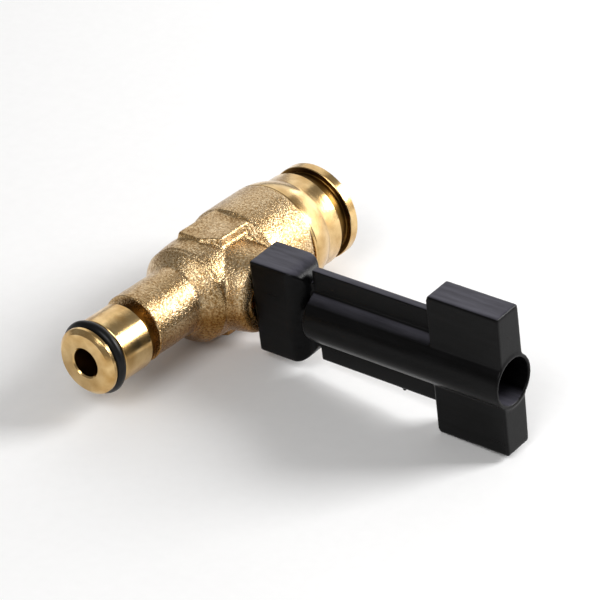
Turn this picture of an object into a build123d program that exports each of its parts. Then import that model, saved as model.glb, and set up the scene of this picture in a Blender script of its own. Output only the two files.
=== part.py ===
import os
from math import cos, radians, sin, sqrt, tan
from build123d import *

os.makedirs("parts", exist_ok=True)

# Boiler filling valve: a forged brass screw-down valve with a clip-in spigot at each end,
# a check-valve cartridge in the inlet and a long black handle on the spindle.
# Millimetres. Origin: centre of the inlet end face. +Y runs out of the inlet along the run,
# +X runs out along the spindle and handle, +Z is up. The outlet spigot points to -Y.

# Run of the valve
run_length = 63.0
cross_y = -28.9
inlet_radius = 9.0
outlet_radius = 6.1
barrel_radius = 10.45
band_radius = 9.05
tube_radius = 6.2
tube_lift = 0.5
outlet_bore_radius = 2.6
inlet_bore_radius = 6.75
outlet_y = -run_length

# Clearances
running_gap = 0.05
ring_gap = 0.03
seat_gap = 0.02
guide_gap = 0.08
loose_gap = 0.3

# Clip and ring grooves on the run
outlet_land = 10.3
outlet_clip_width = 2.0
outlet_clip_near = outlet_y + outlet_land
outlet_clip_far = outlet_clip_near + outlet_clip_width
outlet_clip_radius = 5.0
inlet_lip = 2.3
inlet_clip_width = 2.7
inlet_clip_far = -inlet_lip
inlet_clip_near = inlet_clip_far - inlet_clip_width
inlet_clip_radius = 7.9
end_chamfer = 0.6
outlet_chamfer = 0.8
o_ring_section = 0.95
o_ring_outer = 6.7
o_ring_y = outlet_y + 2.45
o_ring_groove_half = 1.17
o_ring_groove_radius = o_ring_outer - 2 * o_ring_section - seat_gap

# Forged outside of the run, measured along the run from the spindle axis
dome_root = 11.8
dome_edge = 7.85
dome_edge_radius = 8.97
crease_width = 0.25
crease_depth = 0.13
band_front = 6.2
band_back = 4.3
band_back_radius = 9.2
barrel_front = 5.3
barrel_back = 14.8
shoulder_end = 20.3
shoulder_step = 0.12
shoulder_relief = 0.3
dome_curve = ((0.15, 0.04), (0.3, 0.18), (0.6, 0.58), (0.85, 0.88))
shoulder_curve = ((0.327, 0.113), (0.582, 0.323), (0.8, 0.624))

# Boss for the headwork
boss_root = 5.0
boss_root_radius = 8.05
boss_end_radius = 7.15
boss_end = 11.6
boss_rim = 0.7
boss_rim_step = 0.12
bush_radius = 4.3
bush_start = 8.4
chamber_radius = 3.6

# Spanner pads above and below the boss
pad_top = 9.75
pad_foot = 6.0
pad_half = 3.9
pad_draft = 12.0
pad_front = 5.05
pad_back = 5.6
pad_corner_start = 1.2
pad_corner_back = 1.15
pad_foot_half = pad_half + (pad_top - pad_foot) * tan(radians(pad_draft))

# Seat and screw-down parts
seat_x = -2.9
seat_floor = seat_x - 0.5
seat_hole_radius = 1.7
seat_rim_radius = 2.3
feed_x = -5.6
feed_radius = 1.5
washer_thickness = 1.2
washer_radius = 2.7
jumper_thickness = 0.8
jumper_radius = 2.9
stud_radius = 0.7
stem_radius = 0.9
plunger_start = 2.5
plunger_end = 6.9
plunger_radius = chamber_radius - running_gap
spindle_thread_radius = 2.95
spindle_neck_radius = 1.9
spindle_end = 17.5
drive_half = 2.3
drive_corner = 2.9
stem_ring_section = 0.5
stem_ring_outer = chamber_radius - ring_gap
stem_ring_low = 3.65
stem_ring_high = 5.7

# Handle moulding
handle_rest = 3.8
block_start = 11.8
block_end = 22.6
block_half_height = 9.12
block_half_thick = 3.79
block_round = 3.6
block_corner = 0.4
neck_radius = 3.0
lever_start = 22.9
handle_tube_radius = 4.82
handle_bore_radius = 4.17
handle_tube_end = 63.3
wing_start = 48.8
wing_end = 63.15
wing_half_height = 13.58
wing_half_tip = 2.89
wing_half_root = 3.08
rib_half = 0.78
rib_half_height = 9.08
screw_seat = 24.2
screw_radius = 1.5
screw_head_radius = 2.8

# Check-valve cartridge in the inlet
cavity_floor = cross_y + 6.6
cavity_floor_radius = 5.6
housing_start = cross_y + 9.5
housing_end = cross_y + 22.0
housing_outer = inlet_bore_radius - 0.05
housing_inner = 5.2
housing_flange = 1.5
housing_port = 3.6
housing_ring_y = cross_y + 17.6
housing_ring_section = 0.65
guide_thick = 1.6
poppet_radius = 4.6
poppet_back = 1.2
poppet_lift = 2.5
poppet_stem = 1.2
spring_radius = 3.0
spring_wire = 0.25
spring_coils = 5
strainer_start = housing_end
strainer_thick = 0.5
retainer_near = -1.6
strainer_skirt = retainer_near - strainer_start
retainer_far = -0.8
retainer_outer = 7.25

run_axis = Axis((0, 0, 0), (0, 1, 0))
spindle_axis = Axis((0, cross_y, 0), (1, 0, 0))


def spindle_plane(x):
    # Plane across the spindle axis at distance x from the run, its local x along +Y.
    return Plane(origin=(x, cross_y, 0), x_dir=(0, 1, 0), z_dir=(1, 0, 0))


def handle_plane(x):
    # The same plane turned to the angle at which the handle rests.
    turn = radians(handle_rest)
    return Plane(origin=(x, cross_y, 0), x_dir=(0, cos(turn), sin(turn)), z_dir=(1, 0, 0))


def run_plane(y):
    # Plane across the run at y, its normal along +Y.
    return Plane(origin=(0, y, 0), x_dir=(0, 0, 1), z_dir=(0, 1, 0))


# Valve body: one brass forging, machined at both ends and bored for the headwork
dome_points = [
    (
        tube_radius + rise * (dome_edge_radius - tube_radius),
        cross_y - dome_root + along * (dome_root - dome_edge),
    )
    for along, rise in dome_curve
]
shoulder_points = [
    (
        barrel_radius - fall * (barrel_radius - inlet_radius - shoulder_step),
        cross_y + barrel_back + along * (shoulder_end - barrel_back),
    )
    for along, fall in shoulder_curve
]
with BuildPart() as valve_body:
    with BuildSketch(Plane.XY):
        with BuildLine():
            Polyline(
                (0, outlet_y),
                (outlet_radius - outlet_chamfer, outlet_y),
                (outlet_radius, outlet_y + outlet_chamfer),
                (outlet_radius, o_ring_y - o_ring_groove_half),
                (o_ring_groove_radius, o_ring_y - o_ring_groove_half),
                (o_ring_groove_radius, o_ring_y + o_ring_groove_half),
                (outlet_radius, o_ring_y + o_ring_groove_half),
                (outlet_radius, outlet_clip_near),
                (outlet_clip_radius, outlet_clip_near),
                (outlet_clip_radius, outlet_clip_far),
                (tube_radius - tube_lift, outlet_clip_far),
                (tube_radius - tube_lift, cross_y - dome_root),
                (tube_radius, cross_y - dome_root),
            )
            Spline(
                (tube_radius, cross_y - dome_root),
                *dome_points,
                (dome_edge_radius, cross_y - dome_edge),
                tangents=((0, 1), (0.5, 1)),
            )
            Polyline(
                (dome_edge_radius, cross_y - dome_edge),
                (dome_edge_radius - crease_depth, cross_y - dome_edge + crease_width),
                (band_radius, cross_y - band_front),
                (band_back_radius, cross_y - band_back),
                (band_back_radius, cross_y + band_back),
                (barrel_radius, cross_y + barrel_front),
                (barrel_radius, cross_y + barrel_back),
            )
            Spline(
                (barrel_radius, cross_y + barrel_back),
                *shoulder_points,
                (inlet_radius + shoulder_step, cross_y + shoulder_end),
                tangents=((0, 1), (-0.55, 1)),
            )
            Polyline(
                (inlet_radius + shoulder_step, cross_y + shoulder_end),
                (inlet_radius, cross_y + shoulder_end + shoulder_relief),
                (inlet_radius, inlet_clip_near),
                (inlet_clip_radius, inlet_clip_near),
                (inlet_clip_radius, inlet_clip_far),
                (inlet_radius, inlet_clip_far),
                (inlet_radius, -end_chamfer),
                (inlet_radius - end_chamfer, 0),
                (0, 0),
                (0, outlet_y),
            )
        make_face()
    revolve(axis=run_axis)
    with BuildSketch(run_plane(outlet_clip_far)):
        with Locations((tube_lift, 0)):
            Circle(tube_radius)
    extrude(amount=cross_y - dome_root + 2.0 - outlet_clip_far)
    for side in (1, -1):
        with BuildSketch(Plane(origin=(0, cross_y, side * pad_foot), x_dir=(1, 0, 0), z_dir=(0, 0, side))):
            with BuildLine():
                Polyline(
                    (-pad_foot_half, -side * pad_front),
                    (pad_corner_start, -side * pad_front),
                    (pad_half - pad_corner_start, -side * (pad_front - pad_corner_back)),
                    (pad_foot_half, -side * (pad_front - 2 * pad_corner_back)),
                    (pad_foot_half, side * pad_back),
                    (-pad_foot_half, side * pad_back),
                    (-pad_foot_half, -side * pad_front),
                )
            make_face()
        extrude(amount=pad_top - pad_foot, taper=pad_draft)
    with BuildSketch(Plane.XY):
        with BuildLine():
            Polyline(
                (0, cross_y),
                (boss_root, cross_y),
                (boss_root, cross_y + boss_root_radius),
                (boss_end - boss_rim, cross_y + boss_end_radius + boss_rim_step),
            )
            ThreePointArc(
                (boss_end - boss_rim, cross_y + boss_end_radius + boss_rim_step),
                (boss_end - 0.3 * boss_rim, cross_y + boss_end_radius - 0.22 * boss_rim),
                (boss_end, cross_y + boss_end_radius - boss_rim),
            )
            Polyline(
                (boss_end, cross_y + boss_end_radius - boss_rim),
                (boss_end, cross_y),
                (0, cross_y),
            )
        make_face()
    revolve(axis=spindle_axis)
    with BuildSketch(run_plane(outlet_y)):
        Circle(outlet_bore_radius)
    extrude(amount=cross_y - outlet_y, mode=Mode.SUBTRACT)
    with BuildSketch(spindle_plane(seat_floor)):
        Circle(chamber_radius)
        Circle(seat_rim_radius, mode=Mode.SUBTRACT)
    extrude(amount=seat_x - seat_floor, mode=Mode.SUBTRACT)
    with BuildSketch(spindle_plane(seat_x)):
        Circle(chamber_radius)
    extrude(amount=bush_start - seat_x, mode=Mode.SUBTRACT)
    with BuildSketch(spindle_plane(bush_start)):
        Circle(bush_radius)
    extrude(amount=boss_end - bush_start + 1, mode=Mode.SUBTRACT)
    with BuildSketch(spindle_plane(feed_x)):
        Circle(seat_hole_radius)
    extrude(amount=seat_x - feed_x + 0.5, mode=Mode.SUBTRACT)
    with BuildSketch(run_plane(cross_y - 1.0)):
        with Locations((0, feed_x)):
            Circle(feed_radius)
    extrude(amount=cavity_floor - cross_y + 1.5, mode=Mode.SUBTRACT)
    with BuildSketch(run_plane(cavity_floor)):
        Circle(cavity_floor_radius)
    extrude(amount=housing_start - cavity_floor, mode=Mode.SUBTRACT)
    with BuildSketch(run_plane(housing_start)):
        Circle(inlet_bore_radius)
    extrude(amount=-housing_start, mode=Mode.SUBTRACT)
    with BuildSketch(run_plane(retainer_near)):
        Circle(retainer_outer)
        Circle(inlet_bore_radius - 0.5, mode=Mode.SUBTRACT)
    extrude(amount=retainer_far - retainer_near, mode=Mode.SUBTRACT)
valve_body.part.label = "valve_body"
export_step(valve_body.part, "parts/valve_body.step")

# Sealing ring in the groove behind the outlet face
with BuildPart() as outlet_o_ring:
    with BuildSketch(Plane.XY):
        with Locations((o_ring_outer - o_ring_section, o_ring_y)):
            Circle(o_ring_section)
    revolve(axis=run_axis)
outlet_o_ring.part.label = "outlet_o_ring"
export_step(outlet_o_ring.part, "parts/outlet_o_ring.step")

# Threaded brass bush that holds the spindle in the boss
with BuildPart() as gland_bush:
    with BuildSketch(spindle_plane(bush_start)):
        Circle(bush_radius)
        Circle(spindle_thread_radius + running_gap, mode=Mode.SUBTRACT)
    extrude(amount=boss_end - bush_start)
    with BuildSketch(spindle_plane(boss_end - 0.9)):
        for turn in (0, 180):
            with Locations(Rot(0, 0, turn) * Location((bush_radius - 0.45, 0))):
                Rectangle(0.9, 1.0)
    extrude(amount=1.0, mode=Mode.SUBTRACT)
gland_bush.part.label = "gland_bush"
export_step(gland_bush.part, "parts/gland_bush.step")

# Jumper: brass disc with a guide stem and a stud for the washer
with BuildPart() as jumper:
    with BuildSketch(spindle_plane(seat_x + washer_thickness)):
        Circle(jumper_radius)
    extrude(amount=jumper_thickness)
    with BuildSketch(spindle_plane(seat_x + washer_thickness + jumper_thickness)):
        Circle(stem_radius)
    extrude(amount=2.4)
    with BuildSketch(spindle_plane(seat_x - 1.2)):
        Circle(stud_radius)
    extrude(amount=washer_thickness + 1.2)
jumper.part.label = "jumper"
export_step(jumper.part, "parts/jumper.step")

# Rubber washer that closes on the seat
with BuildPart() as seat_washer:
    with BuildSketch(spindle_plane(seat_x)):
        Circle(washer_radius)
        Circle(stud_radius, mode=Mode.SUBTRACT)
    extrude(amount=washer_thickness)
seat_washer.part.label = "seat_washer"
export_step(seat_washer.part, "parts/seat_washer.step")

# Hexagon nut that holds the washer on the stud
with BuildPart() as washer_nut:
    with BuildSketch(spindle_plane(seat_x - 0.9)):
        RegularPolygon(radius=1.4, side_count=6)
        Circle(stud_radius, mode=Mode.SUBTRACT)
    extrude(amount=0.9)
washer_nut.part.label = "washer_nut"
export_step(washer_nut.part, "parts/washer_nut.step")

# Spindle: turned brass with two ring grooves, a thread and a squared end for the handle
spindle_foot = seat_x + washer_thickness + jumper_thickness
with BuildPart() as spindle:
    with BuildSketch(Plane.XY):
        with BuildLine():
            Polyline(
                (spindle_foot, cross_y),
                (spindle_foot, cross_y + spindle_neck_radius),
                (plunger_start, cross_y + spindle_neck_radius),
                (plunger_start, cross_y + plunger_radius),
                (stem_ring_low - 0.6, cross_y + plunger_radius),
                (stem_ring_low - 0.6, cross_y + stem_ring_outer - 2 * stem_ring_section - seat_gap),
                (stem_ring_low + 0.6, cross_y + stem_ring_outer - 2 * stem_ring_section - seat_gap),
                (stem_ring_low + 0.6, cross_y + plunger_radius),
                (stem_ring_high - 0.6, cross_y + plunger_radius),
                (stem_ring_high - 0.6, cross_y + stem_ring_outer - 2 * stem_ring_section - seat_gap),
                (stem_ring_high + 0.6, cross_y + stem_ring_outer - 2 * stem_ring_section - seat_gap),
                (stem_ring_high + 0.6, cross_y + plunger_radius),
                (plunger_end, cross_y + plunger_radius),
                (plunger_end, cross_y + spindle_thread_radius),
                (boss_end + 0.1, cross_y + spindle_thread_radius),
                (boss_end + 0.1, cross_y),
                (spindle_foot, cross_y),
            )
        make_face()
    revolve(axis=spindle_axis)
    with BuildSketch(handle_plane(boss_end + 0.1)):
        Rectangle(2 * drive_half, 2 * drive_half)
        Circle(drive_corner, mode=Mode.INTERSECT)
    extrude(amount=spindle_end - boss_end - 0.1)
    with BuildSketch(spindle_plane(spindle_foot)):
        Circle(stem_radius + guide_gap)
    extrude(amount=2.6, mode=Mode.SUBTRACT)
    with BuildSketch(spindle_plane(spindle_end - 5.5)):
        Circle(screw_radius)
    extrude(amount=5.5, mode=Mode.SUBTRACT)
spindle.part.label = "spindle"
export_step(spindle.part, "parts/spindle.step")

# Two sealing rings on the spindle
with BuildPart() as spindle_ring_low:
    with BuildSketch(Plane.XY):
        with Locations((stem_ring_low, cross_y + stem_ring_outer - stem_ring_section)):
            Circle(stem_ring_section)
    revolve(axis=spindle_axis)
spindle_ring_low.part.label = "spindle_ring_low"
export_step(spindle_ring_low.part, "parts/spindle_ring_low.step")

with BuildPart() as spindle_ring_high:
    with BuildSketch(Plane.XY):
        with Locations((stem_ring_high, cross_y + stem_ring_outer - stem_ring_section)):
            Circle(stem_ring_section)
    revolve(axis=spindle_axis)
spindle_ring_high.part.label = "spindle_ring_high"
export_step(spindle_ring_high.part, "parts/spindle_ring_high.step")

# Handle: one black moulding of block, neck, ribbed tube and two wings
with BuildPart() as handle:
    with BuildSketch(handle_plane(block_start)):
        Rectangle(2 * block_half_thick, 2 * block_half_height)
    extrude(amount=block_end - block_start)
    fillet(handle.faces().sort_by(Axis.X)[-1].edges(), radius=block_round)
    fillet(handle.edges().filter_by(Axis.X), radius=block_corner)
    with BuildSketch(handle_plane(block_end - 2.0)):
        Circle(neck_radius)
    extrude(amount=lever_start - block_end + 3.0)
    with BuildSketch(handle_plane(lever_start)):
        Rectangle(2 * rib_half, 2 * rib_half_height)
    extrude(amount=wing_start - lever_start + 1.0)
    with BuildSketch(handle_plane(wing_start)):
        with BuildLine():
            Polyline(
                (-wing_half_tip, -wing_half_height),
                (wing_half_tip, -wing_half_height),
                (wing_half_root, 0),
                (wing_half_tip, wing_half_height),
                (-wing_half_tip, wing_half_height),
                (-wing_half_root, 0),
                (-wing_half_tip, -wing_half_height),
            )
        make_face()
    extrude(amount=wing_end - wing_start)
    wing_edges = handle.edges().filter_by(lambda e: abs(e.center().Z) > wing_half_height - 1.0)
    fillet(wing_edges, radius=0.4)
    with BuildSketch(handle_plane(lever_start)):
        Circle(handle_tube_radius)
    extrude(amount=handle_tube_end - lever_start)
    with BuildSketch(handle_plane(screw_seat)):
        Circle(handle_bore_radius)
    extrude(amount=handle_tube_end - screw_seat, mode=Mode.SUBTRACT)
    with BuildSketch(handle_plane(block_start)):
        Circle(screw_radius + loose_gap)
    extrude(amount=screw_seat - block_start, mode=Mode.SUBTRACT)
    with BuildSketch(handle_plane(block_start)):
        Rectangle(2 * drive_half, 2 * drive_half)
        Circle(drive_corner, mode=Mode.INTERSECT)
    extrude(amount=spindle_end - block_start, mode=Mode.SUBTRACT)
handle.part.label = "handle"
export_step(handle.part, "parts/handle.step")

# Washer and screw at the bottom of the handle tube
with BuildPart() as screw_washer:
    with BuildSketch(handle_plane(screw_seat)):
        Circle(handle_bore_radius - loose_gap)
        Circle(screw_radius, mode=Mode.SUBTRACT)
    extrude(amount=0.8)
screw_washer.part.label = "screw_washer"
export_step(screw_washer.part, "parts/screw_washer.step")

with BuildPart() as handle_screw:
    with BuildSketch(handle_plane(screw_seat + 0.8)):
        Circle(screw_head_radius)
    extrude(amount=2.6)
    fillet(handle_screw.faces().sort_by(Axis.X)[-1].edges(), radius=0.9)
    with BuildSketch(handle_plane(spindle_end - 4.8)):
        Circle(screw_radius)
    extrude(amount=screw_seat + 0.8 - spindle_end + 4.8)
    with BuildSketch(handle_plane(screw_seat + 2.0)):
        Rectangle(3.2, 0.7)
        Rectangle(0.7, 3.2)
    extrude(amount=2.0, mode=Mode.SUBTRACT)
handle_screw.part.label = "handle_screw"
export_step(handle_screw.part, "parts/handle_screw.step")

# Check-valve cartridge: housing with the port and a groove for its ring
ring_floor = inlet_bore_radius - seat_gap - 2 * housing_ring_section - seat_gap
with BuildPart() as check_housing:
    with BuildSketch(Plane.XY):
        with BuildLine():
            Polyline(
                (housing_inner, housing_start),
                (housing_outer, housing_start),
                (housing_outer, housing_ring_y - 0.8),
                (ring_floor, housing_ring_y - 0.8),
                (ring_floor, housing_ring_y + 0.8),
                (housing_outer, housing_ring_y + 0.8),
                (housing_outer, housing_end),
                (housing_port, housing_end),
                (housing_port, housing_end - housing_flange),
                (housing_inner - 0.3, housing_end - housing_flange),
                (housing_inner - 0.3, housing_start + guide_thick),
                (housing_inner, housing_start + guide_thick),
                (housing_inner, housing_start),
            )
        make_face()
    revolve(axis=run_axis)
check_housing.part.label = "check_housing"
export_step(check_housing.part, "parts/check_housing.step")

with BuildPart() as housing_ring:
    with BuildSketch(Plane.XY):
        with Locations((inlet_bore_radius - seat_gap - housing_ring_section, housing_ring_y)):
            Circle(housing_ring_section)
    revolve(axis=run_axis)
housing_ring.part.label = "housing_ring"
export_step(housing_ring.part, "parts/housing_ring.step")

# Guide for the poppet stem, set in the downstream end of the housing
with BuildPart() as poppet_guide:
    with BuildSketch(run_plane(housing_start)):
        Circle(housing_inner)
        Circle(4.2, mode=Mode.SUBTRACT)
        Circle(2.3)
        for turn in (0, 60, 120):
            with Locations(Rot(0, 0, turn)):
                Rectangle(9.0, 1.2)
        Circle(poppet_stem + guide_gap, mode=Mode.SUBTRACT)
    extrude(amount=guide_thick)
poppet_guide.part.label = "poppet_guide"
export_step(poppet_guide.part, "parts/poppet_guide.step")

# Poppet: disc and stem, pressed on the port by the spring
poppet_face = housing_end - housing_flange - 0.45
poppet_tail = cavity_floor + poppet_lift + 0.2
with BuildPart() as poppet:
    with BuildSketch(Plane.XY):
        with BuildLine():
            Polyline(
                (0, poppet_tail),
                (poppet_stem, poppet_tail),
                (poppet_stem, poppet_face - 2.6),
                (2.4, poppet_face - poppet_back),
                (poppet_radius, poppet_face - poppet_back),
                (poppet_radius, poppet_face),
                (3.0, poppet_face),
                (1.2, poppet_face + 1.3),
                (0, poppet_face + 1.5),
                (0, poppet_tail),
            )
        make_face()
    revolve(axis=run_axis)
poppet.part.label = "poppet"
export_step(poppet.part, "parts/poppet.step")

# Flat rubber ring on the face of the poppet
with BuildPart() as poppet_seal:
    with BuildSketch(run_plane(poppet_face)):
        Circle(poppet_radius - 0.1)
        Circle(3.05, mode=Mode.SUBTRACT)
    extrude(amount=0.45)
poppet_seal.part.label = "poppet_seal"
export_step(poppet_seal.part, "parts/poppet_seal.step")

# Stainless spring between the guide and the poppet
spring_low = housing_start + guide_thick + spring_wire
spring_high = poppet_face - poppet_back - spring_wire
with BuildPart() as check_spring:
    with BuildLine():
        coil = Helix(
            pitch=(spring_high - spring_low) / spring_coils,
            height=spring_high - spring_low,
            radius=spring_radius,
            center=(0, spring_low, 0),
            direction=(0, 1, 0),
        )
    with BuildSketch(Plane(origin=coil @ 0, z_dir=coil % 0)):
        Circle(spring_wire)
    sweep()
check_spring.part.label = "check_spring"
export_step(check_spring.part, "parts/check_spring.step")

# Strainer: a cup of thin stainless sheet with a grid of holes
hole_pitch = 1.75
hole_radius = 0.55
with BuildPart() as strainer:
    with BuildSketch(run_plane(strainer_start)):
        Circle(inlet_bore_radius - 0.1)
    extrude(amount=strainer_skirt)
    with BuildSketch(run_plane(strainer_start + strainer_thick)):
        Circle(inlet_bore_radius - 0.7)
    extrude(amount=strainer_skirt, mode=Mode.SUBTRACT)
    with BuildSketch(run_plane(strainer_start)):
        with HexLocations(radius=hole_pitch / sqrt(3), x_count=7, y_count=7) as grid:
            hole_spots = [spot for spot in grid.local_locations if spot.position.length < 5.3]
        with Locations(*hole_spots):
            Circle(hole_radius)
    extrude(amount=strainer_thick, mode=Mode.SUBTRACT)
strainer.part.label = "strainer"
export_step(strainer.part, "parts/strainer.step")

# Spring steel ring that keeps the cartridge and strainer in the inlet
with BuildPart() as retaining_ring:
    with BuildSketch(run_plane(retainer_near)):
        Circle(retainer_outer)
        Circle(5.9, mode=Mode.SUBTRACT)
        with Locations((5.4, 1.9), (5.4, -1.9)):
            Circle(1.05)
        with Locations((6.8, 0)):
            Rectangle(4.4, 2.0, mode=Mode.SUBTRACT)
        with Locations((5.4, 1.9), (5.4, -1.9)):
            Circle(0.45, mode=Mode.SUBTRACT)
    extrude(amount=retainer_far - retainer_near)
retaining_ring.part.label = "retaining_ring"
export_step(retaining_ring.part, "parts/retaining_ring.step")
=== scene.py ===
from math import cos, pi, radians, sin

import bmesh
import bpy
import numpy as np
from mathutils import Matrix, Vector, noise


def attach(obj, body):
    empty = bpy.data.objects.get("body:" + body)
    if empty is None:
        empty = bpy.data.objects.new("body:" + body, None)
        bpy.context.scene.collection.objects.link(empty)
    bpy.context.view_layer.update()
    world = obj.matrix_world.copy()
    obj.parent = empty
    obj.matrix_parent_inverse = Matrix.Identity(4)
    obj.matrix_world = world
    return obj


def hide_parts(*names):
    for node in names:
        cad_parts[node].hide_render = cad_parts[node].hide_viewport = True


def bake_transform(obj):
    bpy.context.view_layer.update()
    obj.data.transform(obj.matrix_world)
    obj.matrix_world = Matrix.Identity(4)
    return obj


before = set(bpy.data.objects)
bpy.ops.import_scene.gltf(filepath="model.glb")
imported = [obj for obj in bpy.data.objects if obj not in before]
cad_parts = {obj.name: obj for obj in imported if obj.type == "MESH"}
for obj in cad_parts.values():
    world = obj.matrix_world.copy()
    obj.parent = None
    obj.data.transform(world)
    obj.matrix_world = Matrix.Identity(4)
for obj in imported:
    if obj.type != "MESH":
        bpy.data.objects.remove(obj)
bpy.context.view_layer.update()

# Forged body: the middle of the brass forging, with the dome, the band, the barrel, the boss for
# the spindle and the two spanner pads. It is hot-stamped between two dies and then shot-blasted,
# so its edges are soft, and a fine step runs round it where the dies met.
MM = 0.001
cross_y = -28.9
outlet_y = -63.0
forging_front = outlet_y + 12.3
forging_back = cross_y + 15.4
bush_start = 8.4
skin_size = 0.2
die_line, die_step = 0.95, 0.16
lower_die_end = cross_y + 3.0
crease_y, crease_half, crease_depth, crease_inside = cross_y - 7.72, 0.34, 0.4, 8.2
boss_root = 7.2
cut_margin, cut_fade = 0.2, 0.5
gland_radius, gland_fade = 4.6, 0.4
rim_start, rim_start_fade, rim_radius, rim_radius_fade = 9.0, 1.0, 4.7, 0.5
edge_rounds, rim_rounds = 3, 110
forging_waves = ((3.2, 0.05), (0.9, 0.02))


def as_piece(name, shape):
    # A new object from a finished bmesh.
    bmesh.ops.recalc_face_normals(shape, faces=shape.faces)
    mesh = bpy.data.meshes.new(name)
    shape.to_mesh(mesh)
    shape.free()
    piece = bpy.data.objects.new(name, mesh)
    bpy.context.scene.collection.objects.link(piece)
    return piece


def blank(node):
    # The solid of a CAD part as one closed shape, to be worked on.
    shape = bmesh.new()
    shape.from_mesh(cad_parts[node].data)
    bmesh.ops.remove_doubles(shape, verts=shape.verts, dist=2e-6)
    return shape


def skin(piece, size):
    # Lays an even skin of quads over the piece, each about size mm wide.
    step = piece.modifiers.new("skin", "REMESH")
    step.mode, step.voxel_size = "VOXEL", size * MM
    bpy.context.view_layer.update()
    seen = piece.evaluated_get(bpy.context.evaluated_depsgraph_get())
    mesh = bpy.data.meshes.new_from_object(seen)
    piece.modifiers.clear()
    piece.data = mesh
    for face in mesh.polygons:
        face.use_smooth = True


def soften(piece, rounds, freedom):
    # Rounds the edges as a die or a mould does: each point drifts to the middle of its neighbours,
    # as far as freedom, from 0 to 1 at a place in mm, lets it.
    mesh = piece.data
    count = len(mesh.vertices)
    place = np.empty(count * 3)
    mesh.vertices.foreach_get("co", place)
    place = place.reshape(-1, 3)
    ends = np.empty(len(mesh.edges) * 2, np.int64)
    mesh.edges.foreach_get("vertices", ends)
    ends = ends.reshape(-1, 2)
    near = np.bincount(ends.ravel(), minlength=count)[:, None]
    free = freedom(place / MM)[:, None] * 0.5
    for _ in range(rounds):
        total = np.empty_like(place)
        for axis in range(3):
            total[:, axis] = np.bincount(ends[:, 0], place[ends[:, 1], axis], count)
            total[:, axis] += np.bincount(ends[:, 1], place[ends[:, 0], axis], count)
        place += free * (total / near - place)
    mesh.vertices.foreach_set("co", place.ravel())
    mesh.update()


def roughen(piece, waves, freedom, marks):
    # Moves each point along its normal by smooth noise, given as (width, height) in mm, and by marks.
    mesh = piece.data
    place, outward = np.empty(len(mesh.vertices) * 3), np.empty(len(mesh.vertices) * 3)
    mesh.vertices.foreach_get("co", place)
    mesh.vertices.foreach_get("normal", outward)
    place, outward = place.reshape(-1, 3) / MM, outward.reshape(-1, 3)
    push = marks(place)
    for wide, high in waves:
        push = push + high * np.array([noise.noise(point) for point in place / wide])
    place += outward * (push * freedom(place))[:, None]
    mesh.vertices.foreach_set("co", (place * MM).ravel())
    mesh.update()


def forged_skin(place):
    # The two machined faces and the bores keep their edges.
    front = np.clip((place[:, 1] - forging_front - cut_margin) / cut_fade, 0, 1)
    back = np.clip((forging_back - cut_margin - place[:, 1]) / cut_fade, 0, 1)
    reach = np.hypot(place[:, 1] - cross_y, place[:, 2])
    gland = np.clip((reach - gland_radius) / gland_fade, 0, 1)
    return front * back * np.where(place[:, 0] > bush_start, gland, 1.0)


def boss_rim(place):
    # The rim of the boss is worn round by the blasting.
    reach = np.hypot(place[:, 1] - cross_y, place[:, 2])
    outer = np.clip((place[:, 0] - rim_start) / rim_start_fade, 0, 1)
    return outer * np.clip((reach - rim_radius) / rim_radius_fade, 0, 1)


def die_marks(place):
    # The lower die stands a little further in than the upper one, and the dome ends in a fine crease.
    lower = np.where(place[:, 1] < lower_die_end, -die_step * (place[:, 2] < die_line), 0.0)
    across = np.clip(1 - np.abs(place[:, 1] - crease_y) / crease_half, 0, 1)
    outside = np.hypot(place[:, 0], place[:, 2]) > crease_inside
    clear_of_boss = place[:, 0] < boss_root
    return lower - crease_depth * across * outside * clear_of_boss


shape = blank("valve_body")
for cut_y, keep in ((forging_front, 1), (forging_back, -1)):
    everything = shape.verts[:] + shape.edges[:] + shape.faces[:]
    bmesh.ops.bisect_plane(
        shape, geom=everything, plane_co=(0, cut_y * MM, 0), plane_no=(0, keep, 0),
        clear_inner=True, dist=1e-7,
    )
    bmesh.ops.holes_fill(shape, edges=[e for e in shape.edges if e.is_boundary], sides=0)
forging = as_piece("forged_body", shape)
skin(forging, skin_size)
soften(forging, edge_rounds, forged_skin)
soften(forging, rim_rounds, boss_rim)
roughen(forging, forging_waves, forged_skin, die_marks)


def colour(code):
    # An sRGB hex colour as linear red, green, blue and alpha.
    shares = [int(code[k:k + 2], 16) / 255 for k in (1, 3, 5)]
    return [s / 12.92 if s <= 0.04045 else ((s + 0.055) / 1.055) ** 2.4 for s in shares] + [1.0]


def add_node(material, kind, settings=None, links=None):
    # One shader node with its settings and the sockets that feed it.
    made = material.node_tree.nodes.new(kind)
    for name, value in (settings or {}).items():
        if isinstance(name, int) or name in made.inputs:
            made.inputs[name].default_value = value
        elif name == "stops":
            for stop, (position, shade) in zip(made.color_ramp.elements, value):
                stop.position, stop.color = position, shade
        else:
            setattr(made, name, value)
    for name, source in (links or {}).items():
        material.node_tree.links.new(source, made.inputs[name])
    return made


def new_material(name, **sockets):
    # A material and its shader, with the values that are the same all over.
    material = bpy.data.materials.new(name)
    material.use_nodes = True
    shader = material.node_tree.nodes["Principled BSDF"]
    for socket, value in sockets.items():
        shader.inputs[socket.replace("_", " ")].default_value = value
    return material, shader


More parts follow.
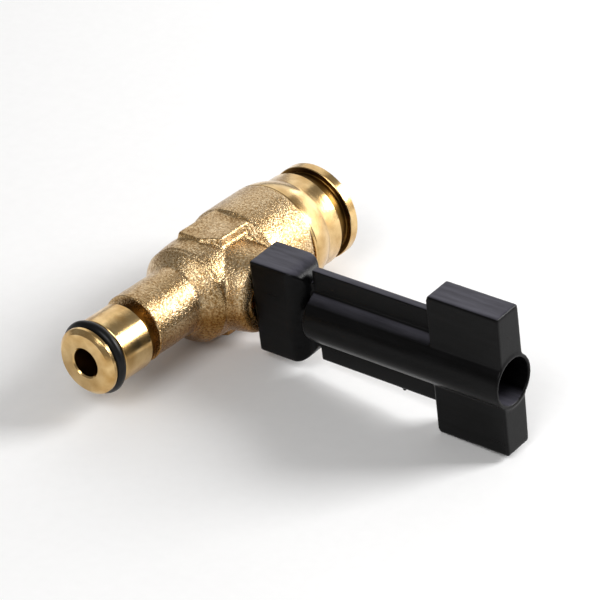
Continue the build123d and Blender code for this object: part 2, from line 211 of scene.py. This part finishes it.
# Shot-blasted brass: countless small dents that each mirror the light their own way, so it sparkles
# between pale gold and brown. Below the line where the dies met it is painted darker towards the bottom,
# a painted shade on the underside. The dents are about 0.15 mm wide and are drawn at 0.28 mm so that
# they show.
blast_brown, blast_gold = "#A9824C", "#F3D9AF"
stain_dull, stain_clean, painted_lower_shade = "#E4DCCC", "#FFFFFF", "#C6AE86"
dent, speck, stain, dent_depth = 0.28 * MM, 0.4 * MM, 6.0 * MM, 0.13 * MM
shade_top, shade_full = (die_line + 0.6) * MM, (die_line - 2.4) * MM
blasted_brass, shader = new_material("blasted_brass", Metallic=1.0)
place = add_node(blasted_brass, "ShaderNodeTexCoord").outputs["Object"]
dents = add_node(
    blasted_brass, "ShaderNodeTexNoise", {"Scale": 1 / dent, "Detail": 2.0, "Roughness": 0.55},
    {"Vector": place},
)
specks = add_node(
    blasted_brass, "ShaderNodeTexNoise", {"Scale": 1 / speck, "Detail": 3.0, "Roughness": 0.7},
    {"Vector": place},
)
stains = add_node(
    blasted_brass, "ShaderNodeTexNoise", {"Scale": 1 / stain, "Detail": 2.0}, {"Vector": place},
)
tone = add_node(
    blasted_brass, "ShaderNodeValToRGB",
    {"stops": ((0.36, colour(blast_brown)), (0.62, colour(blast_gold)))}, {"Fac": specks.outputs["Fac"]},
)
dull = add_node(
    blasted_brass, "ShaderNodeValToRGB",
    {"stops": ((0.35, colour(stain_dull)), (0.6, colour(stain_clean)))}, {"Fac": stains.outputs["Fac"]},
)
mixed = add_node(
    blasted_brass, "ShaderNodeMix", {"data_type": "RGBA", "blend_type": "MULTIPLY", 0: 1.0},
    {6: tone.outputs["Color"], 7: dull.outputs["Color"]},
)
height = add_node(blasted_brass, "ShaderNodeSeparateXYZ", links={"Vector": place})
# Painted shade: the forging darkens towards the bottom, below the line where the dies met.
lower_shade_mask = add_node(
    blasted_brass, "ShaderNodeMapRange", {"From Min": shade_top, "From Max": shade_full},
    {"Value": height.outputs["Z"]},
)
lower_shaded = add_node(
    blasted_brass, "ShaderNodeMix",
    {"data_type": "RGBA", "blend_type": "MULTIPLY", 7: colour(painted_lower_shade)},
    {0: lower_shade_mask.outputs["Result"], 6: mixed.outputs[2]},
)
blasted_brass.node_tree.links.new(lower_shaded.outputs[2], shader.inputs["Base Color"])
gloss = add_node(
    blasted_brass, "ShaderNodeMapRange",
    {"From Min": 0.3, "From Max": 0.7, "To Min": 0.36, "To Max": 0.16}, {"Value": specks.outputs["Fac"]},
)
blasted_brass.node_tree.links.new(gloss.outputs["Result"], shader.inputs["Roughness"])
relief = add_node(
    blasted_brass, "ShaderNodeBump", {"Strength": 1.0, "Distance": dent_depth},
    {"Height": dents.outputs["Fac"]},
)
blasted_brass.node_tree.links.new(relief.outputs["Normal"], shader.inputs["Normal"])
forging.data.materials.append(blasted_brass)
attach(forging, "valve")
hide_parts("valve_body")

# Outlet spigot: the front end of the same forging, turned on a lathe to a plain spigot with a groove
# for its sealing ring and a groove for the spring clip. The tool leaves fine rings on the metal.
outlet_radius, outlet_chamfer = 6.1, 0.8
ring_y, ring_groove_half, ring_groove_radius = outlet_y + 2.45, 1.17, 4.78
clip_near, clip_far, clip_radius = outlet_y + 10.3, forging_front, 5.0
edge = 0.12
outlet_bore, spigot_root = 2.6, clip_far + 1.5
corner_angle = radians(25)


def turned(name, section, turns=192):
    # A ring turned about the run from a closed section of (radius, along) in mm.
    shape = bmesh.new()
    rings = []
    for step in range(turns):
        angle = 2 * pi * step / turns
        rings.append([
            shape.verts.new(Vector((radius * cos(angle), along, radius * sin(angle))) * MM)
            for radius, along in section
        ])
    for step in range(turns):
        here, there = rings[step], rings[(step + 1) % turns]
        for k in range(len(section)):
            j = (k + 1) % len(section)
            shape.faces.new((here[k], here[j], there[j], there[k]))
    return as_piece(name, shape)


spigot = turned("outlet_spigot", [
    (outlet_bore, spigot_root), (outlet_bore, outlet_y + 2 * edge), (outlet_bore + 2 * edge, outlet_y),
    (outlet_radius - outlet_chamfer - edge, outlet_y),
    (outlet_radius - outlet_chamfer, outlet_y + 0.4 * edge),
    (outlet_radius - 0.5 * edge, outlet_y + outlet_chamfer - 0.5 * edge),
    (outlet_radius, ring_y - ring_groove_half - 0.5 * edge),
    (outlet_radius - 0.5 * edge, ring_y - ring_groove_half),
    (ring_groove_radius, ring_y - ring_groove_half), (ring_groove_radius, ring_y + ring_groove_half),
    (outlet_radius - edge, ring_y + ring_groove_half), (outlet_radius, ring_y + ring_groove_half + edge),
    (outlet_radius, clip_near - edge), (outlet_radius - edge, clip_near),
    (clip_radius + edge, clip_near), (clip_radius, clip_near + edge),
    (clip_radius, spigot_root),
], turns=224)


# Turned brass: bright and smooth, with rings 0.16 mm apart from the lathe tool that draw the light
# out across them, and a little dulling from handling. A dark brown copy paints the shade in the clip
# grooves.
def lathe_brass(name, dark, pale, rough, smooth):
    material, shader = new_material(name, Metallic=1.0)
    place = add_node(material, "ShaderNodeTexCoord").outputs["Object"]
    tool_ring, smear, ring_depth = 0.16 * MM, 3.0 * MM, 0.025 * MM
    parts = add_node(material, "ShaderNodeSeparateXYZ", links={"Vector": place})
    across = add_node(
        material, "ShaderNodeCombineXYZ", links={"X": parts.outputs["X"], "Z": parts.outputs["Z"]},
    )
    reach = add_node(
        material, "ShaderNodeVectorMath", {"operation": "LENGTH"}, {0: across.outputs["Vector"]},
    )
    path = add_node(
        material, "ShaderNodeMath", {"operation": "ADD"},
        {0: reach.outputs["Value"], 1: parts.outputs["Y"]},
    )
    rings = add_node(
        material, "ShaderNodeTexNoise",
        {"noise_dimensions": "1D", "Scale": 1 / tool_ring, "Detail": 2.0, "Roughness": 0.6},
        {"W": path.outputs["Value"]},
    )
    smears = add_node(
        material, "ShaderNodeTexNoise", {"Scale": 1 / smear, "Detail": 4.0}, {"Vector": place},
    )
    tone = add_node(
        material, "ShaderNodeValToRGB",
        {"stops": ((0.3, colour(dark)), (0.7, colour(pale)))}, {"Fac": smears.outputs["Fac"]},
    )
    material.node_tree.links.new(tone.outputs["Color"], shader.inputs["Base Color"])
    gloss = add_node(
        material, "ShaderNodeMapRange",
        {"From Min": 0.3, "From Max": 0.7, "To Min": rough, "To Max": smooth},
        {"Value": smears.outputs["Fac"]},
    )
    material.node_tree.links.new(gloss.outputs["Result"], shader.inputs["Roughness"])
    relief = add_node(
        material, "ShaderNodeBump", {"Strength": 0.5, "Distance": ring_depth},
        {"Height": rings.outputs["Fac"]},
    )
    material.node_tree.links.new(relief.outputs["Normal"], shader.inputs["Normal"])
    return material


turned_brass = lathe_brass("turned_brass", dark="#C29A5E", pale="#E8C890", rough=0.26, smooth=0.13)
# Painted shade: a dark brown copy of the turned brass for the recess of the clip grooves.
groove_shade_brass = lathe_brass("groove_shade_brass", dark="#4A3415", pale="#7C5B2A", rough=0.4, smooth=0.28)


def paint_groove_shade(piece, near, far, floor_radius, top_radius):
    # The walls and floor of a clip groove get the dark brown copy as painted shade. The two slacks keep its
    # own faces in.
    along_slack, floor_slack = 0.01, 0.1
    piece.data.materials.append(turned_brass)
    piece.data.materials.append(groove_shade_brass)
    for face in piece.data.polygons:
        middle = face.center / MM
        reach = (middle.x ** 2 + middle.z ** 2) ** 0.5
        inside = near - along_slack < middle.y < far + along_slack
        if inside and floor_radius - floor_slack < reach < top_radius:
            face.material_index = 1


def shade(piece):
    # Smooth along its curves and sharp at its corners.
    for face in piece.data.polygons:
        face.use_smooth = True
    piece.data.set_sharp_from_angle(angle=corner_angle)


def finish_turned(piece, body, node):
    # Shaded, moving with its body, and standing for its CAD node.
    shade(piece)
    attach(piece, body)
    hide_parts(node)


paint_groove_shade(spigot, clip_near, spigot_root, clip_radius, outlet_radius - edge)
finish_turned(spigot, "valve", "valve_body")

# Inlet collar: the other turned end of the forging, with a rounded shoulder, a deep groove for its
# spring clip, a lip, and inside the mouth a groove for the ring that keeps the check valve in.
collar_radius, collar_chamfer, inlet_bore = 9.0, 0.6, 6.75
collar_root = forging_back - 0.4
shoulder_top, shoulder_foot, shoulder_start, shoulder_end = 10.45, 9.12, cross_y + 14.8, cross_y + 20.3
score_depth, score_near, score_far = 0.07, forging_back + 0.1, forging_back + 0.25
shoulder_steps = 14
lip_back, lip_front, lip_groove = -5.0, -2.3, 7.9
keeper_back, keeper_front, keeper_radius = -1.6, -0.8, 7.25
shoulder = []
for k in range(shoulder_steps + 1):
    along = score_far + (shoulder_end - score_far) * k / shoulder_steps
    share = (along - shoulder_start) / (shoulder_end - shoulder_start)
    shoulder.append((shoulder_top - (shoulder_top - shoulder_foot) * share ** 2, along))
collar = turned("inlet_collar", [
    (inlet_bore, collar_root), (shoulder[0][0] - score_depth, collar_root),
    (shoulder[0][0] - score_depth, score_near), *shoulder,
    (collar_radius, shoulder_end + 0.3),
    (collar_radius, lip_back - edge), (collar_radius - edge, lip_back),
    (lip_groove + edge, lip_back), (lip_groove, lip_back + edge),
    (lip_groove, lip_front - edge), (lip_groove + edge, lip_front),
    (collar_radius - edge, lip_front), (collar_radius, lip_front + edge),
    (collar_radius, -collar_chamfer), (collar_radius - collar_chamfer, 0),
    (inlet_bore + 2 * edge, 0), (inlet_bore, -2 * edge),
    (inlet_bore, keeper_front), (keeper_radius, keeper_front),
    (keeper_radius, keeper_back), (inlet_bore, keeper_back),
], turns=224)
paint_groove_shade(collar, lip_back, lip_front, lip_groove, collar_radius - edge)
finish_turned(collar, "valve", "valve_body")

# Outlet sealing ring: a moulded nitrile O-ring stretched into the groove of the spigot, with the
# faint seam of its mould round the outside.
ring_wire, ring_outer, seam, ring_steps = 0.95, 6.7, 0.012, 40
ring_section = []
for k in range(ring_steps):
    angle = 2 * pi * k / ring_steps
    bulge = ring_wire + (seam if k in (0, ring_steps // 2) else 0) - seam
    ring_section.append((ring_outer - ring_wire + bulge * cos(angle), ring_y + bulge * sin(angle)))
o_ring = turned("sealing_ring", ring_section, turns=192)

# Nitrile rubber: satin black with a soft bloom and a very fine texture from its mould.
nitrile, shader = new_material("nitrile_rubber", Specular_IOR_Level=0.25)
place = add_node(nitrile, "ShaderNodeTexCoord").outputs["Object"]
cloud, pore, pore_depth = 1.5 * MM, 0.15 * MM, 0.02 * MM
bloom = add_node(nitrile, "ShaderNodeTexNoise", {"Scale": 1 / cloud, "Detail": 4.0}, {"Vector": place})
tone = add_node(
    nitrile, "ShaderNodeValToRGB",
    {"stops": ((0.35, colour("#070707")), (0.75, colour("#131314")))}, {"Fac": bloom.outputs["Fac"]},
)
nitrile.node_tree.links.new(tone.outputs["Color"], shader.inputs["Base Color"])
gloss = add_node(
    nitrile, "ShaderNodeMapRange", {"To Min": 0.26, "To Max": 0.44}, {"Value": bloom.outputs["Fac"]},
)
nitrile.node_tree.links.new(gloss.outputs["Result"], shader.inputs["Roughness"])
grain = add_node(nitrile, "ShaderNodeTexNoise", {"Scale": 1 / pore, "Detail": 2.0}, {"Vector": place})
relief = add_node(
    nitrile, "ShaderNodeBump", {"Strength": 0.25, "Distance": pore_depth}, {"Height": grain.outputs["Fac"]},
)
nitrile.node_tree.links.new(relief.outputs["Normal"], shader.inputs["Normal"])
o_ring.data.materials.append(nitrile)
finish_turned(o_ring, "valve", "outlet_o_ring")


def dress(material, *nodes):
    # Gives solids that keep their shape a finish.
    for name in nodes:
        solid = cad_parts[name]
        solid.data.materials.clear()
        solid.data.materials.append(material)


# Headwork: the turned brass bush, spindle, jumper and nut, with the rubber washer that closes on the
# seat and the two sealing rings of the spindle. They sit inside the boss and keep their own solids.
dress(turned_brass, "gland_bush", "spindle", "jumper", "washer_nut")
dress(nitrile, "seat_washer", "spindle_ring_low", "spindle_ring_high")

# Handle: one black nylon moulding, pushed on the squared end of the spindle: a block with a rounded
# end, a hollow tube with a rib above and below, and two wings. The stub under the lower rib is what
# is left of the gate where the nylon ran in.
handle_rest = radians(3.8)
handle_skin, handle_rounds = 0.2, 3
handle_turn = Matrix.Translation((0, cross_y * MM, 0)) @ Matrix.Rotation(handle_rest, 4, "X")
handle_turn = handle_turn @ Matrix.Translation((0, -cross_y * MM, 0))
gate_x, gate_radius, gate_reach, rib_half_height = 40.0, 0.5, 0.75, 9.08
moulding = blank("handle")
bmesh.ops.transform(moulding, matrix=handle_turn.inverted(), verts=moulding.verts)
gate_place = Vector((gate_x, cross_y, -rib_half_height)) * MM
bmesh.ops.create_cone(
    moulding, cap_ends=True, segments=20, radius1=0.8 * gate_radius * MM, radius2=gate_radius * MM,
    depth=2 * gate_reach * MM, matrix=Matrix.Translation(gate_place),
)
handle = as_piece("lever_handle", moulding)
skin(handle, handle_skin)
soften(handle, handle_rounds, lambda place: np.ones(len(place)))
handle.data.transform(handle_turn)

# Black nylon: a satin moulded skin with fine spark-eroded grain, faint flow streaks along the tube,
# and a thin grey on the faces that lie upward, partly dust and partly a painted sheen of the light above.
black_nylon, shader = new_material("black_nylon", Specular_IOR_Level=0.12)
streak, streak_stretch, pore, pore_depth = 1.2 * MM, 0.12, 0.25 * MM, 0.03 * MM
dust_and_sheen_from, dust_and_sheen_full = 0.72, 0.97
coordinates = add_node(black_nylon, "ShaderNodeTexCoord")
place = coordinates.outputs["Object"]
flow = add_node(
    black_nylon, "ShaderNodeMapping", {"Scale": (streak_stretch, 1.0, 1.0)}, {"Vector": place},
)
streaks = add_node(
    black_nylon, "ShaderNodeTexNoise", {"Scale": 1 / streak, "Detail": 5.0, "Roughness": 0.6},
    {"Vector": flow.outputs["Vector"]},
)
tone = add_node(
    black_nylon, "ShaderNodeValToRGB",
    {"stops": ((0.35, colour("#050505")), (0.75, colour("#0E0E0F")))}, {"Fac": streaks.outputs["Fac"]},
)
# Partly dust and partly painted sheen: the faces that lie upward are greyer.
dust_and_sheen = add_node(
    black_nylon, "ShaderNodeValToRGB",
    {"stops": ((0.3, colour("#38373E")), (0.75, colour("#57565F")))}, {"Fac": streaks.outputs["Fac"]},
)
facing = add_node(black_nylon, "ShaderNodeSeparateXYZ", links={"Vector": coordinates.outputs["Normal"]})
lying = add_node(
    black_nylon, "ShaderNodeMapRange", {"From Min": dust_and_sheen_from, "From Max": dust_and_sheen_full},
    {"Value": facing.outputs["Z"]},
)
mixed = add_node(
    black_nylon, "ShaderNodeMix", {"data_type": "RGBA"},
    {0: lying.outputs["Result"], 6: tone.outputs["Color"], 7: dust_and_sheen.outputs["Color"]},
)
black_nylon.node_tree.links.new(mixed.outputs[2], shader.inputs["Base Color"])
gloss = add_node(
    black_nylon, "ShaderNodeMapRange", {"To Min": 0.2, "To Max": 0.42}, {"Value": streaks.outputs["Fac"]},
)
black_nylon.node_tree.links.new(gloss.outputs["Result"], shader.inputs["Roughness"])
grain = add_node(black_nylon, "ShaderNodeTexNoise", {"Scale": 1 / pore, "Detail": 3.0}, {"Vector": place})
relief = add_node(
    black_nylon, "ShaderNodeBump", {"Strength": 0.4, "Distance": pore_depth},
    {"Height": grain.outputs["Fac"]},
)
black_nylon.node_tree.links.new(relief.outputs["Normal"], shader.inputs["Normal"])
handle.data.materials.append(black_nylon)
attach(handle, "handle_and_spindle")
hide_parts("handle")

# Handle screw and its washer: zinc-plated steel at the bottom of the tube, into the end of the spindle.
zinc_steel, shader = new_material("zinc_steel", Metallic=1.0)
place = add_node(zinc_steel, "ShaderNodeTexCoord").outputs["Object"]
crystal = 0.4 * MM
spangle = add_node(
    zinc_steel, "ShaderNodeTexNoise", {"Scale": 1 / crystal, "Detail": 3.0}, {"Vector": place},
)
tone = add_node(
    zinc_steel, "ShaderNodeValToRGB",
    {"stops": ((0.3, colour("#A9ABAD")), (0.7, colour("#C9CBCD")))}, {"Fac": spangle.outputs["Fac"]},
)
zinc_steel.node_tree.links.new(tone.outputs["Color"], shader.inputs["Base Color"])
gloss = add_node(
    zinc_steel, "ShaderNodeMapRange", {"To Min": 0.24, "To Max": 0.42}, {"Value": spangle.outputs["Fac"]},
)
zinc_steel.node_tree.links.new(gloss.outputs["Result"], shader.inputs["Roughness"])
dress(zinc_steel, "handle_screw", "screw_washer")

# Check valve: a white acetal cartridge in the inlet, with its grey guide and poppet, nitrile seals, a
# stainless strainer cup over it and a spring-steel ring that keeps it all in.
def moulded_acetal(name, dark, pale):
    material, shader = new_material(name, Specular_IOR_Level=0.5)
    place = add_node(material, "ShaderNodeTexCoord").outputs["Object"]
    haze = 2.0 * MM
    cloud = add_node(material, "ShaderNodeTexNoise", {"Scale": 1 / haze, "Detail": 3.0}, {"Vector": place})
    tone = add_node(
        material, "ShaderNodeValToRGB",
        {"stops": ((0.3, colour(dark)), (0.7, colour(pale)))}, {"Fac": cloud.outputs["Fac"]},
    )
    material.node_tree.links.new(tone.outputs["Color"], shader.inputs["Base Color"])
    gloss = add_node(
        material, "ShaderNodeMapRange", {"To Min": 0.3, "To Max": 0.45}, {"Value": cloud.outputs["Fac"]},
    )
    material.node_tree.links.new(gloss.outputs["Result"], shader.inputs["Roughness"])
    return material


dress(moulded_acetal("white_acetal", "#D9D8D2", "#ECEBE6"), "check_housing")
dress(moulded_acetal("grey_acetal", "#95979B", "#A6A8AC"), "poppet_guide", "poppet")
dress(nitrile, "housing_ring", "poppet_seal")
dress(zinc_steel, "strainer", "retaining_ring")

# Closing spring: stainless wire wound between the guide and the poppet. It is one fixed solid here,
# attached to no body, so it does not follow the poppet.
spring = as_piece("closing_spring", blank("check_spring"))
shade(spring)
spring.data.materials.append(zinc_steel)
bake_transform(spring)
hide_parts("check_spring")

# Floor: a wide sheet of matt white paper. It leans a little, because the valve lies on its barrel and
# on the lower wing of its handle.
floor_drop, floor_lean, floor_reach = -10.48, 0.0668, 2.5
shape = bmesh.new()
corners = [(-1, -1), (1, -1), (1, 1), (-1, 1)]
shape.faces.new([
    shape.verts.new((floor_reach * x, floor_reach * y, floor_drop * MM - floor_lean * floor_reach * x))
    for x, y in corners
])
floor = as_piece("paper_floor", shape)
paper, shader = new_material("white_paper", Roughness=0.9, Specular_IOR_Level=0.1)
place = add_node(paper, "ShaderNodeTexCoord").outputs["Object"]
flock = 2.0 * MM
fibre = add_node(paper, "ShaderNodeTexNoise", {"Scale": 1 / flock, "Detail": 4.0}, {"Vector": place})
tone = add_node(
    paper, "ShaderNodeValToRGB",
    {"stops": ((0.2, colour("#F8F8F8")), (0.8, colour("#FBFBFB")))}, {"Fac": fibre.outputs["Fac"]},
)
paper.node_tree.links.new(tone.outputs["Color"], shader.inputs["Base Color"])
floor.data.materials.append(paper)

# Light: a bright softbox behind and to the right, a weak one behind to the left, one above the camera,
# a pale wall behind, and a dim grey room. A lamp is its name, direction, distance, width, height and glow.
middle = Vector((0.015, -0.03, 0.0))
lamps = (
    ("softbox", (0.6, 0.63, 0.49), 0.6, 0.25, 0.25, 17.0),
    ("back_left", (-0.56, 0.65, 0.5), 0.8, 0.8, 0.6, 0.85),
    ("front", (0.22, -0.67, 0.7), 0.8, 0.36, 0.32, 6.4),
    ("back_wall", (0.2, 0.96, 0.12), 0.8, 1.0, 0.5, 1.9),
)
for name, toward, far, wide, tall, glow in lamps:
    lamp = bpy.data.lights.new(name, "AREA")
    lamp.shape, lamp.size, lamp.size_y = "RECTANGLE", wide, tall
    lamp.energy = glow * wide * tall * pi
    holder = bpy.data.objects.new(name, lamp)
    bpy.context.scene.collection.objects.link(holder)
    holder.location = middle + Vector(toward).normalized() * far
    holder.rotation_euler = (-Vector(toward)).to_track_quat("-Z", "Y").to_euler()
room = bpy.data.worlds.new("room")
bpy.context.scene.world = room
room.use_nodes = True
room.node_tree.nodes["Background"].inputs["Color"].default_value = colour("#F4F2F0")
room.node_tree.nodes["Background"].inputs["Strength"].default_value = 0.27

# Camera: a long lens from the front, right and above.
lens = bpy.data.cameras.new("camera")
lens.lens, lens.sensor_width = 210.04, 36.0
lens.clip_start, lens.clip_end = 0.01, 10.0
camera = bpy.data.objects.new("camera", lens)
bpy.context.scene.collection.objects.link(camera)
rightward, downward = (0.7792, 0.6237, -0.0623), (0.2737, -0.4279, -0.8614)
forward, stand = (-0.5639, 0.6541, -0.5041), (0.35347, -0.41717, 0.30049)
camera.matrix_world = Matrix(
    [[rightward[k], -downward[k], -forward[k], stand[k]] for k in range(3)] + [[0, 0, 0, 1]]
)
bpy.context.scene.camera = camera
bpy.context.scene.view_settings.view_transform = "Standard"
